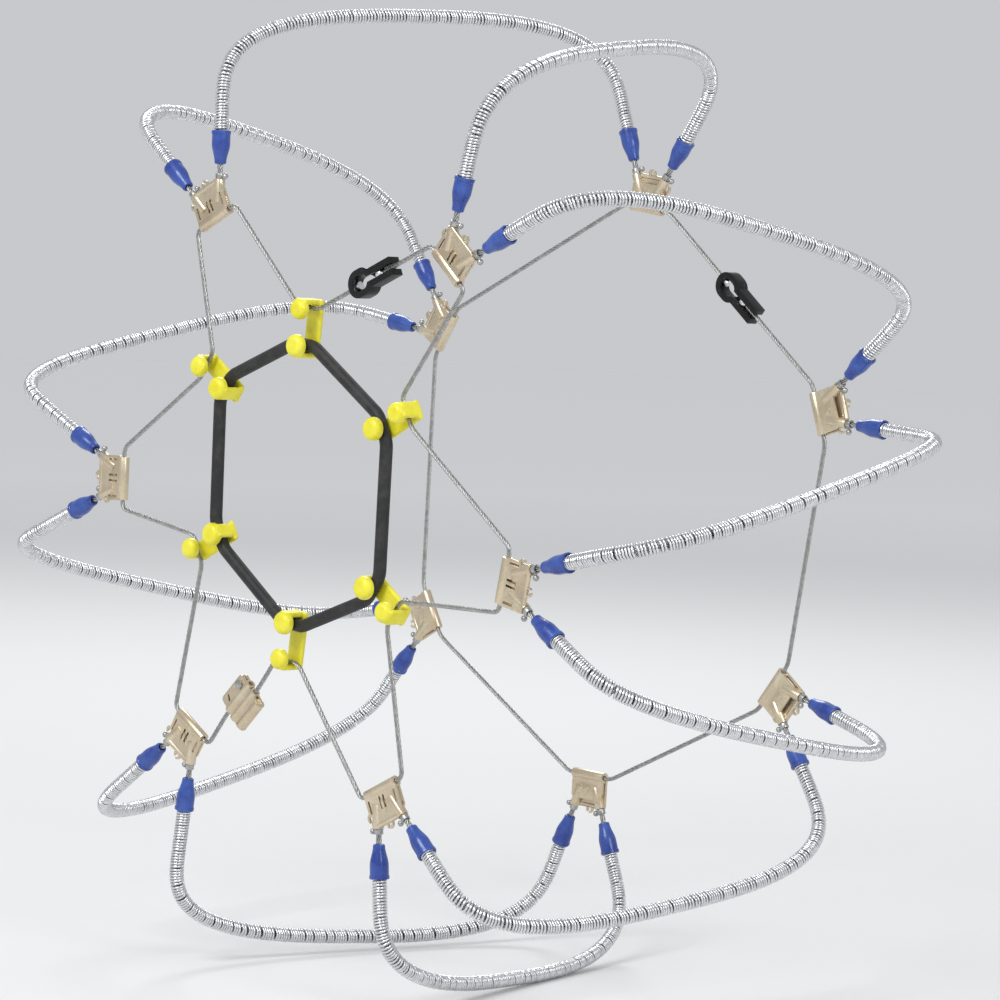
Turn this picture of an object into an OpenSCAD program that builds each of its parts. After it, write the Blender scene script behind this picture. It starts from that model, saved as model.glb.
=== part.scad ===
// Cable tyre chain for one wheel: a zigzag of coil-covered cross cables between an outer and an inner
// side cable, pulled tight over the wheel by a rubber ring with six hooks.
// Origin at the tyre's centre. Y is the axle and the outer side is at -Y. Z is up.

/* [Tyre] */
// Outside diameter of the tyre that it fits
tyre_d = 838; // [690:1:1010]
// Section width of that tyre
tyre_w = 368; // [300:1:450]
// Height over which a cross cable rounds the tyre's shoulder
shoulder_rise = 77; // [60:1:95]

/* [Cross cables] */
// Diameter of the steel core cable
core_d = 5; // [4:0.1:6]
// Outside diameter of the traction coil
coil_d = 13; // [11:0.5:16]
// Diameter of the coil's wire
coil_wire = 2.4; // [1.8:0.1:2.6]
// Bare core between a clamp and its sleeve
bare_len = 13; // [8:1:18]

/* [Sleeves] */
// Length of a plastic sleeve
sleeve_len = 29; // [22:1:35]
// How far the coil sits in the sleeve
sleeve_grip = 9; // [5:1:12]
// Wall of the sleeve round the coil
sleeve_wall = 2; // [1.5:0.1:2.5]

/* [Clamps] */
// Width of a clamp along the side cable
clamp_w = 40; // [36:1:48]
// Height of a clamp's plates above its folded tube
clamp_h = 25; // [22:1:30]
// Thickness over both folded plates
clamp_t = 10; // [9:0.5:12]
// Thickness of the clamp's sheet steel
sheet = 2; // [1.5:0.1:2.3]
// Gap between a clamp and the tyre
stand_off = 2; // [1:0.5:4]

/* [Side cables] */
// Diameter of the side cables
side_d = 4; // [3:0.1:4.5]
// Running clearance round a cable
fit = 0.3; // [0.2:0.05:0.4]

/* [Tensioner] */
// Diameter of the rubber ring's cord
ring_d = 11; // [9:0.5:13]
// Distance from the rubber ring to the side cable in a hook
hook_reach = 32; // [28:1:40]
// Width of a hook's back along the ring
hook_w = 18; // [16:1:20]
// Wall of a hook
hook_wall = 5; // [4:0.5:6]
// Diameter of the round tip in front of the ring
ring_tip_d = 20; // [18:0.5:22]
// Diameter of the round tip in front of the side cable
cable_tip_d = 18; // [16:0.5:19]
// Thickness of a tip
tip_t = 9; // [7:0.5:10]

/* [Fastener] */
// Length of a keyhole fastener
key_len = 54; // [50:1:64]
// Width of its narrow end
key_w = 16; // [15:0.5:19]
// Thickness of a fastener
key_t = 12; // [11:0.5:14]
// Diameter of a cable's ball end
ball_d = 9.6; // [9:0.1:10]

/* [Hidden] */
$fn = 48;

// Where the six outer clamps sit: angle from +X, and depth below the cable's crown
clamp_angle = [117, 49, -11, -63, -121, -180];
clamp_drop = [152, 150, 156, 151, 170, 182];
inner_drop = 152;
// Which way round each outer clamp's fingers face
clamp_hand = [1, 1, 1, -1, -1, 1];
// Where the six hooks hold the rubber ring: angle from +X, and radius
hook_angle = [89, 32, -35, -90, -158, -222];
hook_radius = [129, 121, 121, 108, 106, 131];

// Small steps that keep two faces out of one plane, and a cutter's run past a face
skin = 0.1;
run_out = 1;

tread_gap = 1;
side_y = tyre_w / 2 + stand_off + clamp_t / 2;
crown_r = tyre_d / 2 + coil_d / 2 + tread_gap;
shoulder_r = crown_r - shoulder_rise;
squareness = 2 / 3;
lead_n = 3;
arc_n = 24;
solve_steps = 22;
steepest = 0.9;
ref_inset = 20;
cut_margin = 4;
core_sides = 6;
coil_sides = 8;
cable_sides = 8;
ring_sides = 10;

core_r = core_d / 2;
coil_r = coil_d / 2;
side_r = side_d / 2;
ring_r = ring_d / 2;
ball_r = ball_d / 2;

// A clamp's own layout, with x along the side cable, z outwards and the front at -y
tube_z = -clamp_h / 2;
tube_r = clamp_t / 2 - 2 * skin;
tube_short = 2;
relief = 1.6;
plate_y = (clamp_t - sheet) / 2 - relief;
plate_corner = 3;
back_less = 3;
mouth_h = 5;
ridge_r = 2.2;
post_r = 3.6;
finger_r = 4.2;
finger_out = 1;
finger_z = 7;
curl_r = 1.9;
curl_lean = 25;
curl_gap = 2.2;
curl_slot = 5;
curl_slot_z = 3.7;
window_edge = 3.7;
window_mid = 2.4;
window_x = [window_edge - clamp_w / 2, -window_mid, window_mid, clamp_w / 2 - window_edge];
window_w = 2;
window_h = 11;
window_z = -1.5;
slit = [2, 4 * sheet, 6];
barrel_x = 9;
barrel_z = -2;
barrel_len = 20;
barrel_r = clamp_t / 2 - 3 * skin;
core_inside = 4;
sleeve_start = barrel_len + bare_len;
coil_start = sleeve_start + sleeve_len - sleeve_grip;

// Ferrule at a clamp's mouth, with the bead on the cable's tail
ferrule_gap = 0.4;
ferrule_len = 4.5;
ferrule_wall = 1.3;
tail_r = 1.2;
bead_x = 7;
bead_r = 2.6;
throat_wall = 2.6;
coil_lip = 0.3;

// A keyhole fastener's own layout, with x along the side cable
key_pocket = 8;
key_slot = side_d + 1;
key_eye_x = -12.5;
key_eye_r = 6.5;
key_eye_len = 5;
key_lobe_r = 12;
stop_len = 3.6;
stop_r = 3.6;
key_end = key_eye_x - key_eye_len / 2 - key_lobe_r;
key_tip = key_end + key_len;
stop_x = key_eye_x - key_eye_len / 2 - key_eye_r + 3 * skin;
stop_bore = 2.3;
stop_seat_past = 4;
key_share = 0.5;
press_gap = 0.15;
ball_bore_depth = 0.5;

// A hook's own layout, with x along the ring, z outwards and the front at -y
ring_bridge = 12;
cable_bridge = 14;
ring_clear = 0.6;
hook_channel = ring_r + ring_clear;
hook_near = -hook_channel - hook_wall;
hook_far = hook_reach + side_r + fit + hook_wall;
tip_inset = 0.4;
tip_edge = 3;
back_corner = 5;

// Bends of the ring and the cables beside a hook or a clamp, and the gap before they start
hook_gap = 0.5;
ring_bend = 6;
cable_bend = 6;
straight_out = 1;

// The folded splice plate, its two channels and its rivet
splice_w = 34;
splice_h = 34;
splice_gap = 4.6;
splice_wall = 2.2;
splice_end = 2;
splice_channel_over = 3;
rivet_r = 2.5;
rivet_at = [-9, -11.5];
splice_slit_at = [9, -11];
rivet_head_r = 4;
rivet_head_t = 1.2;
rivet_head_out = 0.65;
rivet_over = 1;

steel = [0.75, 0.76, 0.77];
gold = [0.78, 0.68, 0.45];
blue = [0.1, 0.22, 0.6];
yellow = [0.95, 0.9, 0.1];
black = [0.06, 0.06, 0.06];

function unit(v) = v / norm(v);
function polar(r, a, y) = [r * cos(a), y, r * sin(a)];
function outward(a) = [cos(a), 0, sin(a)];
function along(a) = [sin(a), 0, -cos(a)];
function number(i) = i < 9 ? str("0", i + 1) : str(i + 1);

// ---- Swept tubes ----
function tangent(path, i) =
    unit(path[min(i + 1, len(path) - 1)] - path[max(i - 1, 0)]);

function ring_of(path, i, ref, r, sides) =
    let (t = tangent(path, i), b = unit(cross(t, ref)), m = cross(b, t))
    [for (k = [0 : sides - 1]) path[i] + r * (cos(360 * k / sides) * m + sin(360 * k / sides) * b)];

function loop_ring(path, i, ref, r, sides) =
    let (
        n = len(path),
        t = unit(path[(i + 1) % n] - path[(i + n - 1) % n]),
        b = unit(cross(t, ref)),
        m = cross(b, t)
    )
    [for (k = [0 : sides - 1]) path[i] + r * (cos(360 * k / sides) * m + sin(360 * k / sides) * b)];

function skin(rings, sides, start = 0) = [
    for (i = [0 : rings - 2], k = [0 : sides - 1])
        let (a = start + i * sides, j = (k + 1) % sides)
        [a + k, a + j, a + sides + j, a + sides + k]
];

function flipped(faces) = [for (f = faces) [for (k = [len(f) - 1 : -1 : 0]) f[k]]];

module cable(path, refs, r, sides) {
    n = len(path);
    points = [for (i = [0 : n - 1]) each ring_of(path, i, refs[i], r, sides)];
    caps = [
        [for (k = [sides - 1 : -1 : 0]) k],
        [for (k = [0 : sides - 1]) (n - 1) * sides + k]
    ];
    polyhedron(points, concat(skin(n, sides), caps), 10);
}

module hose(path, refs, r_out, r_in, sides) {
    n = len(path);
    outer = [for (i = [0 : n - 1]) each ring_of(path, i, refs[i], r_out, sides)];
    inner = [for (i = [0 : n - 1]) each ring_of(path, i, refs[i], r_in, sides)];
    m = n * sides;
    last = (n - 1) * sides;
    ends = [
        for (k = [0 : sides - 1])
            let (j = (k + 1) % sides)
            each [[k, m + k, m + j, j], [last + j, m + last + j, m + last + k, last + k]]
    ];
    polyhedron(concat(outer, inner), concat(skin(n, sides), flipped(skin(n, sides, m)), ends), 10);
}

module closed_loop(path, ref, r, sides) {
    n = len(path);
    points = [for (i = [0 : n - 1]) each loop_ring(path, i, ref, r, sides)];
    faces = [
        for (i = [0 : n - 1], k = [0 : sides - 1])
            let (a = i * sides, b = ((i + 1) % n) * sides, j = (k + 1) % sides)
            [a + k, a + j, b + j, b + k]
    ];
    polyhedron(points, faces, 10);
}

// ---- Routes of the cross cables ----
// From the outer clamp's crimp up the sidewall, round the shoulders and down to the inner clamp's crimp
function cross_profile(r_a, r_b) = concat(
    [for (i = [0 : lead_n - 1]) [r_a + (shoulder_r - r_a) * i / lead_n, -side_y]],
    [
        for (i = [0 : arc_n])
            let (a = 180 * i / arc_n)
            [
                shoulder_r + shoulder_rise * pow(sin(a), squareness),
                -side_y * sign(cos(a)) * pow(abs(cos(a)), squareness)
            ]
    ],
    [for (i = [1 : lead_n]) [shoulder_r + (r_b - shoulder_r) * i / lead_n, side_y]]
);

// A taut cable follows the shortest way, so its radius times the sine of its slope stays the same
function step_turn(p, q, c) =
    let (m = sqrt(p[0] * q[0]))
    norm(q - p) * c / (m * sqrt(m * m - c * c)) * 180 / PI;

function turns(prof, c, i = 1, sum = [0]) =
    i == len(prof) ? sum
    : turns(prof, c, i + 1, concat(sum, [sum[i - 1] + step_turn(prof[i - 1], prof[i], c)]));

function turn_total(prof, c) = let (t = turns(prof, c)) t[len(t) - 1];

function solve_c(prof, turn, lo, hi, n) =
    let (c = (lo + hi) / 2)
    n == 0 ? c
    : turn_total(prof, c) < turn ? solve_c(prof, turn, c, hi, n - 1) : solve_c(prof, turn, lo, c, n - 1);

function outer_angle(i) = clamp_angle[i % 6] - 360 * floor(i / 6);
function inner_angle(i) = (outer_angle(i) + outer_angle(i + 1)) / 2;
function outer_clamp_r(i) = crown_r - clamp_drop[i % 6];
inner_clamp_r = crown_r - inner_drop;

function crimp_r(r) = norm([barrel_x, r + barrel_z]);
function crimp_turn(r) = atan(barrel_x / (r + barrel_z));

// Cable k leaves outer clamp floor(k / 2): an even one turns towards rising angles, an odd one falls
function side_of(k) = k % 2 == 0 ? 1 : -1;
function outer_of(k) = floor(k / 2);
function inner_of(k) = k % 2 == 0 ? (outer_of(k) + 5) % 6 : outer_of(k);
function inner_turn(k) = k == 0 ? 360 : 0;

function cable_data(k) =
    let (
        s = side_of(k),
        r_a = outer_clamp_r(outer_of(k)),
        from = outer_angle(outer_of(k)) + s * crimp_turn(r_a),
        to = inner_angle(inner_of(k)) + inner_turn(k) - s * crimp_turn(inner_clamp_r),
        prof = cross_profile(crimp_r(r_a), crimp_r(inner_clamp_r)),
        c = solve_c(prof, abs(to - from), 1, steepest * crimp_r(min(r_a, inner_clamp_r)), solve_steps)
    )
    [prof, from, s, c];

function cable_route(data) =
    let (prof = data[0], t = turns(prof, data[3]))
    [for (i = [0 : len(prof) - 1]) polar(prof[i][0], data[1] + data[2] * t[i], prof[i][1])];

function cable_refs(data) =
    let (prof = data[0], t = turns(prof, data[3]))
    [
        for (i = [0 : len(prof) - 1])
            polar(prof[i][0] - shoulder_r + ref_inset, data[1] + data[2] * t[i], prof[i][1])
    ];

// Slope of a cable from straight outwards where it leaves a clamp
function slope(data, r) = asin(data[3] / r);

function path_len(path, i) = i == 0 ? 0 : path_len(path, i - 1) + norm(path[i] - path[i - 1]);

// The part of a route that lies between two distances from its ends
function cut_route(path, refs, a, b) =
    let (
        n = len(path) - 1,
        total = path_len(path, n),
        start = path[0] + a * unit(path[1] - path[0]),
        end = path[n] + b * unit(path[n - 1] - path[n]),
        keep = [
            for (i = [1 : n - 1])
                if (path_len(path, i) > a + cut_margin && total - path_len(path, i) > b + cut_margin) i
        ]
    )
    [
        concat([start], [for (i = keep) path[i]], [end]),
        concat([refs[0]], [for (i = keep) refs[i]], [refs[n]])
    ];

module cross_cable(k) {
    data = cable_data(k);
    piece = cut_route(cable_route(data), cable_refs(data), core_inside, core_inside);
    color(steel) cable(piece[0], piece[1], core_r, core_sides);
}

module traction_coil(k) {
    data = cable_data(k);
    piece = cut_route(cable_route(data), cable_refs(data), coil_start, coil_start);
    color(steel) hose(piece[0], piece[1], coil_r, coil_r - coil_wire, coil_sides);
}

// Puts a piece on the end of cable k at the outer or the inner side, with z running away from the clamp
module at_cable_end(k, outer) {
    data = cable_data(k);
    path = cable_route(data);
    n = len(path) - 1;
    p = outer ? path[0] : path[n];
    d = outer ? unit(path[1] - path[0]) : unit(path[n - 1] - path[n]);
    translate(p) rotate([0, 90 - atan2(d[2], d[0]), 0]) children();
}

// ---- Clamps ----
module at_side(angle, r, outer) {
    translate(polar(r, angle, outer ? -side_y : side_y))
        rotate([0, 90 - angle, 0])
            rotate([0, 0, outer ? 0 : 180]) children();
}

module rounded_plate(w, h, r, t) {
    rotate([90, 0, 0]) linear_extrude(t, center = true) {
        square([w - 2 * r, h], center = true);
        square([w, h - 2 * r], center = true);
        for (x = [-1, 1], z = [-1, 1])
            translate([x * (w / 2 - r), z * (h / 2 - r)]) circle(r);
    }
}

// slopes: how far the barrels at -x and +x lean from straight outwards
// hand: 1 with the curled fingers towards -x, or -1 for a clamp that is turned over
module clamp(slopes, hand) {
    front_y = -plate_y - sheet / 2;
    mouth_z = clamp_h / 2 + mouth_h;
    fingers = [[hand * (finger_out - clamp_w / 2), finger_z], [hand * finger_out, mouth_z + finger_out]];
    color(gold) difference() {
        union() {
            translate([0, -plate_y, mouth_h / 2])
                rounded_plate(clamp_w, clamp_h + mouth_h, plate_corner, sheet);
            translate([0, plate_y, -back_less / 2])
                rounded_plate(clamp_w - back_less, clamp_h - back_less, plate_corner, sheet);
            translate([0, 0, tube_z]) rotate([0, 90, 0])
                cylinder(r = tube_r, h = clamp_w - tube_short, center = true);
            // Raised ridge along the mouth
            translate([0, -plate_y, mouth_z - ridge_r + 2 * skin]) rotate([0, 90, 0])
                cylinder(r = ridge_r, h = clamp_w - 2 * plate_corner, center = true);
            rotate([90, 0, 0]) cylinder(r = post_r, h = clamp_t - sheet, center = true);
            for (i = [0, 1])
                at_barrel(i, slopes[i]) cylinder(r = barrel_r, h = barrel_len);
            // Curled fingers beside the two cables
            for (f = fingers)
                translate([f[0], -plate_y, f[1]]) rotate([90, 0, 0])
                    cylinder(r = finger_r, h = sheet - skin, center = true);
        }
        translate([0, 0, tube_z]) rotate([0, 90, 0])
            cylinder(r = side_r + fit, h = 2 * clamp_w, center = true);
        for (i = [0, 1])
            at_barrel(i, slopes[i]) translate([0, 0, core_inside - run_out])
                cylinder(r = core_r + fit, h = 2 * barrel_len);
        for (f = fingers)
            translate([f[0], -plate_y, f[1]]) {
                rotate([90, 0, 0]) cylinder(r = curl_r, h = sheet + 3 * skin, center = true);
                rotate([0, -hand * curl_lean, 0]) translate([0, 0, curl_slot_z])
                    cube([curl_gap, sheet + 3 * skin, curl_slot], center = true);
            }
        // Windows punched through the front sheet
        for (x = window_x)
            translate([x, front_y, window_z]) cube([window_w, 2 * sheet + 5 * skin, window_h], center = true);
        // Corners cut back round the ferrules
        for (i = [0, 1])
            at_barrel(i, slopes[i]) translate([0, 0, barrel_len + skin])
                cylinder(r = core_r + ferrule_wall + fit, h = ferrule_len + 2 * ferrule_gap);
    }
}

module at_barrel(i, slope) {
    x = i == 0 ? -1 : 1;
    translate([x * barrel_x, 0, barrel_z]) rotate([0, x * slope, 0]) children();
}

// Seen from its own side, an outer clamp's +x runs towards falling angles and an inner one's towards rising
module outer_clamp(i) {
    r = outer_clamp_r(i);
    near = slope(cable_data(2 * i), crimp_r(r)) + crimp_turn(r);
    far = slope(cable_data(2 * i + 1), crimp_r(r)) + crimp_turn(r);
    at_side(outer_angle(i), r, true) clamp([near, far], clamp_hand[i]);
}

module inner_clamp(i) {
    r = inner_clamp_r;
    near = slope(cable_data(2 * ((i + 1) % 6)), crimp_r(r)) + crimp_turn(r);
    far = slope(cable_data(2 * i + 1), crimp_r(r)) + crimp_turn(r);
    at_side(inner_angle(i), r, false) clamp([near, far], 1);
}

// ---- Fittings on the ends of the cross cables ----
// Tapered plastic sleeve over the end of the coil
module sleeve() {
    mouth = coil_r + sleeve_wall;
    throat = core_r + throat_wall;
    color(blue) translate([0, 0, sleeve_start]) difference() {
        union() {
            cylinder(r1 = throat, r2 = mouth, h = sleeve_len / 2);
            translate([0, 0, sleeve_len / 2]) cylinder(r = mouth, h = sleeve_len / 2);
        }
        translate([0, 0, -run_out]) cylinder(r = core_r + fit, h = sleeve_len + 2 * run_out);
        translate([0, 0, sleeve_len - sleeve_grip - coil_lip]) cylinder(r = coil_r + fit / 2, h = sleeve_len);
    }
}

// Pressed ferrule at the clamp's mouth, with the bead of the cable's tail beside it
module end_ferrule() {
    color(steel) translate([0, 0, barrel_len + ferrule_gap]) difference() {
        union() {
            cylinder(r = core_r + ferrule_wall, h = ferrule_len);
            translate([0, 0, ferrule_len / 2]) rotate([0, 90, 0]) cylinder(r = tail_r, h = bead_x);
            translate([bead_x, 0, ferrule_len / 2]) sphere(r = bead_r);
        }
        translate([0, 0, -run_out]) cylinder(r = core_r + press_gap, h = ferrule_len + 2 * run_out);
    }
}

module sleeves(outer) {
    for (k = [0 : 11])
        at_cable_end(k, outer) sleeve();
}

module ferrules(outer) {
    for (k = [0 : 11])
        at_cable_end(k, outer) end_ferrule();
}

// ---- Tensioner ----
function wrap(i) = (i + 6) % 6;
function hook_point(j) = polar(hook_radius[wrap(j)], hook_angle[wrap(j)], -side_y);
function hook_out(j) =
    -unit(unit(hook_point(j - 1) - hook_point(j)) + unit(hook_point(j + 1) - hook_point(j)));
function hook_along(j) = let (o = hook_out(j)) [o[2], 0, -o[0]];

// Replaces each inner corner of an open line of points with a bend
function bent(line, d) = concat(
    [line[0]],
    [
        for (i = [1 : len(line) - 2])
            let (a = line[i] + d * unit(line[i - 1] - line[i]), b = line[i] + d * unit(line[i + 1] - line[i]))
            for (t = [0, 1 / 3, 2 / 3, 1])
                (1 - t) * (1 - t) * a + 2 * t * (1 - t) * line[i] + t * t * b
    ],
    [line[len(line) - 1]]
);

function bent_loop(line, d) = let (n = len(line)) [
    for (i = [0 : n - 1])
        let (
            a = line[i] + d * unit(line[(i + n - 1) % n] - line[i]),
            b = line[i] + d * unit(line[(i + 1) % n] - line[i])
        )
        for (t = [0, 1 / 4, 1 / 2, 3 / 4, 1])
            (1 - t) * (1 - t) * a + 2 * t * (1 - t) * line[i] + t * t * b
];

module tensioner_ring() {
    half = ring_bridge / 2 + hook_gap + ring_bend;
    line = [for (j = [0 : 5], s = [-1, 1]) hook_point(j) + s * half * hook_along(j)];
    color(black) closed_loop(bent_loop(line, ring_bend), [0, 1, 0], ring_r, ring_sides);
}

// Round tip with a domed edge, rising along z
module hook_tip(d) {
    cylinder(d = d, h = tip_t - tip_edge);
    translate([0, 0, tip_t - tip_edge]) cylinder(r1 = d / 2, r2 = d / 2 - tip_edge, h = tip_edge);
}

// Bridge from a hook's back to a tip
module hook_bridge(w, z) {
    front = -hook_channel - tip_t / 2;
    back = hook_channel + hook_wall / 2;
    translate([-w / 2, front, z]) cube([w, back - front, hook_wall - tip_inset]);
}

module tensioner_hook(j) {
    o = hook_out(j);
    color(yellow) translate(hook_point(j)) rotate([0, 90 - atan2(o[2], o[0]), 0]) {
        translate([0, hook_channel + hook_wall / 2, (hook_near + hook_far) / 2])
            rounded_plate(hook_w, hook_far - hook_near, back_corner, hook_wall);
        hook_bridge(ring_bridge, hook_near + tip_inset);
        hook_bridge(cable_bridge, hook_far - hook_wall);
        translate([0, -hook_channel, hook_near + ring_tip_d / 2]) rotate([90, 0, 0]) hook_tip(ring_tip_d);
        translate([0, -hook_channel, hook_far - cable_tip_d / 2]) rotate([90, 0, 0]) hook_tip(cable_tip_d);
    }
}

// ---- Side cables ----
function tube_point(angle, r, y, s) =
    polar(r + tube_z, angle, y) + s * (clamp_w / 2 + straight_out + cable_bend) * along(angle);

function outer_tube(i, s) = tube_point(outer_angle(i), outer_clamp_r(i), -side_y, s);
function inner_tube(i, s) = tube_point(inner_angle(i), inner_clamp_r, side_y, s);
function hook_seat(j, s) =
    hook_point(j) + hook_reach * hook_out(j) + s * (cable_bridge / 2 + hook_gap + cable_bend) * hook_along(j);

// The fasteners and the splice sit on straight stretches, given by their ends and a share of the way
function key_line(outer) =
    outer ? [hook_seat(0, 1), outer_tube(1, -1)]
    : [inner_tube(0, 1), inner_tube(1, -1)];
function key_dir(outer) = let (l = key_line(outer)) unit(l[1] - l[0]);
function key_point(outer, x) =
    let (l = key_line(outer))
    l[0] + key_share * (l[1] - l[0]) + x * key_dir(outer);

splice_line = [hook_seat(3, 1), outer_tube(4, -1)];
splice_dir = unit(splice_line[1] - splice_line[0]);
splice_up = [-splice_dir[2], 0, splice_dir[0]];
function splice_point(x, z) = (splice_line[0] + splice_line[1]) / 2 + x * splice_dir + z * splice_up;

module side_cable(line) {
    path = bent(line, cable_bend);
    color(steel) cable(path, [for (p = path) [0, 1, 0]], side_r, cable_sides);
}

module outer_side_cable_a() {
    side_cable(concat(
        [key_point(true, key_pocket)],
        [for (i = [1 : 3]) each [outer_tube(i, -1), outer_tube(i, 1), hook_seat(i, -1), hook_seat(i, 1)]],
        [splice_point(-splice_w / 2 - straight_out - cable_bend, splice_gap)],
        [splice_point(splice_w / 2 - splice_end, splice_gap)]
    ));
}

module outer_side_cable_b() {
    side_cable(concat(
        [splice_point(splice_end - splice_w / 2, -splice_gap)],
        [splice_point(splice_w / 2 + straight_out + cable_bend, -splice_gap)],
        [for (i = [4 : 6]) each [outer_tube(i, -1), outer_tube(i, 1), hook_seat(i, -1), hook_seat(i, 1)]],
        [key_point(true, stop_x + stop_len / 2)]
    ));
}

module inner_side_cable() {
    side_cable(concat(
        [key_point(false, key_pocket)],
        [for (i = [1 : 6]) each [inner_tube(i, -1), inner_tube(i, 1)]],
        [key_point(false, stop_x + stop_len / 2)]
    ));
}

module at_key(outer) {
    d = key_dir(outer);
    translate(key_point(outer, 0)) rotate([0, -atan2(d[2], d[0]), 0]) children();
}

module fastener(outer) {
    color(black) at_key(outer) difference() {
        union() {
            for (x = [-1, 1])
                translate([key_eye_x + x * key_eye_len / 2, 0, 0]) rotate([90, 0, 0])
                    cylinder(r = key_lobe_r, h = key_t, center = true);
            translate([key_eye_x, 0, 0]) cube([key_eye_len, key_t, 2 * key_lobe_r], center = true);
            translate([(key_eye_x + key_tip) / 2, 0, 0])
                cube([key_tip - key_eye_x, key_t - 4 * skin, key_w], center = true);
        }
        // Eye that a ball end enters through
        for (x = [-1, 1])
            translate([key_eye_x + x * key_eye_len / 2, 0, 0]) rotate([90, 0, 0])
                cylinder(r = key_eye_r, h = 2 * key_t, center = true);
        translate([key_eye_x, 0, 0]) cube([key_eye_len, 2 * key_t, 2 * key_eye_r], center = true);
        // Slot and channel that it slides along to its pocket
        translate([key_eye_x, -key_t, -key_slot / 2]) cube([key_len, 2 * key_t, key_slot]);
        translate([key_eye_x, 0, 0]) rotate([0, 90, 0])
            cylinder(r = ball_r + fit, h = key_pocket - key_eye_x);
        translate([key_pocket, 0, 0]) sphere(r = ball_r + fit);
        // Seat and hole of the other cable end
        translate([stop_x - fit, 0, 0]) rotate([0, 90, 0])
            cylinder(r = stop_r + fit, h = stop_len + stop_seat_past);
        translate([key_end - run_out, 0, 0]) rotate([0, 90, 0]) cylinder(r = side_r + fit, h = key_lobe_r);
    }
}

module ball_end(outer) {
    color(steel) at_key(outer) translate([key_pocket, 0, 0]) rotate([0, 90, 0]) difference() {
        sphere(r = ball_r);
        translate([0, 0, -ball_bore_depth]) cylinder(r = side_r + press_gap, h = ball_d);
    }
}

module cable_stop(outer) {
    color(steel) at_key(outer) translate([stop_x, 0, 0]) rotate([0, 90, 0]) difference() {
        cylinder(r = stop_r, h = stop_len);
        translate([0, 0, -run_out]) cylinder(r = side_r + press_gap, h = stop_bore + run_out);
    }
}

module at_splice() {
    translate(splice_point(0, 0)) rotate([0, -atan2(splice_dir[2], splice_dir[0]), 0]) children();
}

module splice_plate() {
    color(gold) at_splice() difference() {
        union() {
            for (s = [-1, 1])
                translate([0, s * plate_y, 0]) rounded_plate(splice_w, splice_h, plate_corner, sheet);
            translate([0, 0, splice_h / 2 - tube_short]) rotate([0, 90, 0])
                cylinder(r = tube_r, h = splice_w - tube_short, center = true);
            for (s = [-1, 1])
                translate([0, 0, s * splice_gap]) rotate([0, 90, 0])
                    cylinder(r = side_r + splice_wall, h = splice_w + splice_channel_over, center = true);
        }
        for (s = [-1, 1])
            translate([0, 0, s * splice_gap]) rotate([0, 90, 0])
                cylinder(r = side_r + fit, h = 2 * splice_w, center = true);
        translate([rivet_at[0], 0, rivet_at[1]]) rotate([90, 0, 0])
            cylinder(r = rivet_r + press_gap, h = 2 * clamp_t, center = true);
        translate([splice_slit_at[0], -clamp_t / 2, splice_slit_at[1]]) rotate([0, curl_lean, 0])
            cube(slit, center = true);
    }
}

module splice_rivet() {
    color(steel) at_splice() translate([rivet_at[0], 0, rivet_at[1]]) rotate([90, 0, 0]) {
        cylinder(r = rivet_r, h = clamp_t - 2 * relief + 2 * rivet_over, center = true);
        for (s = [-1, 1])
            translate([0, 0, s * (clamp_t / 2 - relief + rivet_head_out)])
                cylinder(r = rivet_head_r, h = rivet_head_t, center = true);
    }
}

outer_clamp(0);  // outer_clamp_1
outer_clamp(1);  // outer_clamp_2
outer_clamp(2);  // outer_clamp_3
outer_clamp(3);  // outer_clamp_4
outer_clamp(4);  // outer_clamp_5
outer_clamp(5);  // outer_clamp_6
inner_clamp(0);  // inner_clamp_1
inner_clamp(1);  // inner_clamp_2
inner_clamp(2);  // inner_clamp_3
inner_clamp(3);  // inner_clamp_4
inner_clamp(4);  // inner_clamp_5
inner_clamp(5);  // inner_clamp_6
for (k = [0 : 11]) {
    cross_cable(k);
    traction_coil(k);
}
sleeves(true);  // outer_sleeves
sleeves(false);  // inner_sleeves
ferrules(true);  // outer_ferrules
ferrules(false);  // inner_ferrules
outer_side_cable_a();
outer_side_cable_b();
inner_side_cable();
splice_plate();
splice_rivet();
fastener(true);  // outer_fastener
fastener(false);  // inner_fastener
ball_end(true);  // outer_ball_end
ball_end(false);  // inner_ball_end
cable_stop(true);  // outer_cable_stop
cable_stop(false);  // inner_cable_stop
tensioner_ring();
tensioner_hook(0);  // tensioner_hook_1
tensioner_hook(1);  // tensioner_hook_2
tensioner_hook(2);  // tensioner_hook_3
tensioner_hook(3);  // tensioner_hook_4
tensioner_hook(4);  // tensioner_hook_5
tensioner_hook(5);  // tensioner_hook_6
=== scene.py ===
# %% [markdown]
# # Cable tyre chain: the frame
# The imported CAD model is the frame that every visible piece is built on. Loading it first gives the
# nodes, the bodies that move, and the box that the finished model has to stay in. Reading that box
# straight away keeps a note of the true size before anything is added.

# %% Load the frame
import math
import random
from bisect import bisect_right

import bmesh
import bpy
from mathutils import Matrix, Vector


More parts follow.
